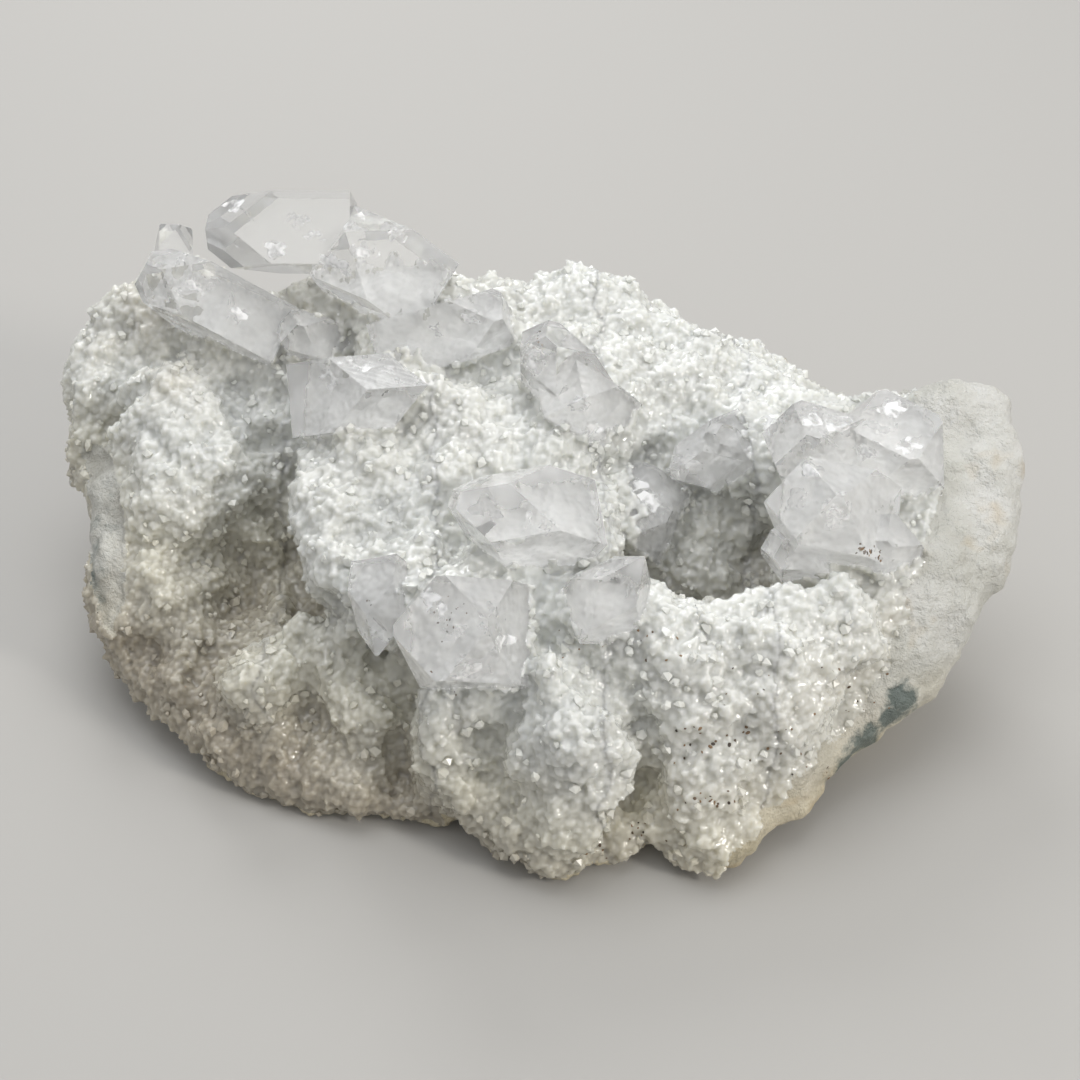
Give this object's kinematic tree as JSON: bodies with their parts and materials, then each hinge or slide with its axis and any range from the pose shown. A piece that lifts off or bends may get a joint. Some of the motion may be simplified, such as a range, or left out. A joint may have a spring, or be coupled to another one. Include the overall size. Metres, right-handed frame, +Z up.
{
  "type": "apophyllite on quartz mineral specimen",
  "caption": "Cabinet specimen of clear apophyllite crystals on a lumpy white drusy quartz matrix, resting on a small flat spot.",
  "frame": {"origin": "middle of the bounding box in X and Y, on the plane of the flat resting spot", "axes": "+X to the right as seen from the side that carries the crystals, along the longest extent; -Y towards the viewer; +Z up"},
  "size_m": [0.1554, 0.0999, 0.0662],
  "materials": {
    "quartz": "drusy, sparkling, slightly translucent",
    "apophyllite": "clear, glassy, with pale internal veils"
  },
  "bodies": {
    "root": {"quartz_matrix": "quartz", "apophyllite_back_cluster": "apophyllite", "apophyllite_left_lobe": "apophyllite", "apophyllite_upper_left": "apophyllite", "apophyllite_upper_middle": "apophyllite", "apophyllite_centre": "apophyllite", "apophyllite_fractured_block": "apophyllite", "apophyllite_basin_lip": "apophyllite", "apophyllite_wedge": "apophyllite", "apophyllite_large_front": "apophyllite", "apophyllite_bench_cluster": "apophyllite", "apophyllite_basin_edge": "apophyllite"}
  },
  "joints": []
}
